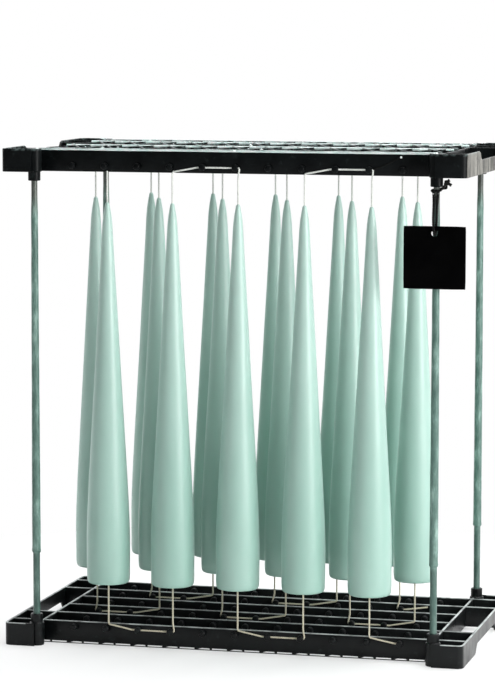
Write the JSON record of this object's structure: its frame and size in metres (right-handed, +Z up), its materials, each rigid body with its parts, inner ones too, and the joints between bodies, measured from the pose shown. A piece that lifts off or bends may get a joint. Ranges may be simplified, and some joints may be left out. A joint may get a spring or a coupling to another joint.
{
  "type": "candle dipping frame",
  "caption": "Dipping frame for taper candles: two black grids on four posts, strung with pale green cone candles on continuous wicks, with a square hang tag.",
  "frame": {"origin": "centre of the frame's footprint on the surface it stands on, hang tag and cord left out", "axes": "+X along the long side to the right, +Y from the tagged front to the back, +Z up"},
  "size_m": [0.448, 0.2574, 0.478],
  "materials": {
    "black_plastic": "satin injection moulded, wax film on outer edges",
    "waxed_post": "thin green wax coat on dark rod",
    "green_wax": "satin paraffin wax, slightly translucent",
    "wick_cotton": "braided cotton, waxed",
    "black_card": "smooth coated card, unprinted",
    "black_cord": "twisted cord"
  },
  "bodies": {
    "frame": {"bottom_grid": "black_plastic", "top_grid": "black_plastic", "post_front_left": "waxed_post", "post_front_right": "waxed_post", "post_back_left": "waxed_post", "post_back_right": "waxed_post", "candle_front_1": "green_wax", "candle_front_2": "green_wax", "candle_front_3": "green_wax", "candle_front_4": "green_wax", "candle_front_5": "green_wax", "candle_middle_1": "green_wax", "candle_middle_2": "green_wax", "candle_middle_3": "green_wax", "candle_middle_4": "green_wax", "candle_middle_5": "green_wax", "candle_middle_6": "green_wax", "candle_back_1": "green_wax", "candle_back_2": "green_wax", "candle_back_3": "green_wax", "candle_back_4": "green_wax", "candle_back_5": "green_wax", "wick_front": "wick_cotton", "wick_middle": "wick_cotton", "wick_back": "wick_cotton"},
    "cord_loop": {"cord_hitch": "black_cord", "cord_knot": "black_cord"},
    "tag": {"tag_cord": "black_cord", "hang_tag": "black_card"}
  },
  "joints": [
    {"name": "loop_turn", "type": "hinge", "parent": "frame", "child": "cord_loop", "pos_m": [0.194, -0.11775, 0.4434], "axis": [0, 0, 1], "range_deg": [-50, 60]},
    {"name": "tag_swing", "type": "hinge", "parent": "cord_loop", "child": "tag", "pos_m": [0.194, -0.12245, 0.4406], "axis": [-1, 0, 0], "range_deg": [0, 50]}
  ]
}
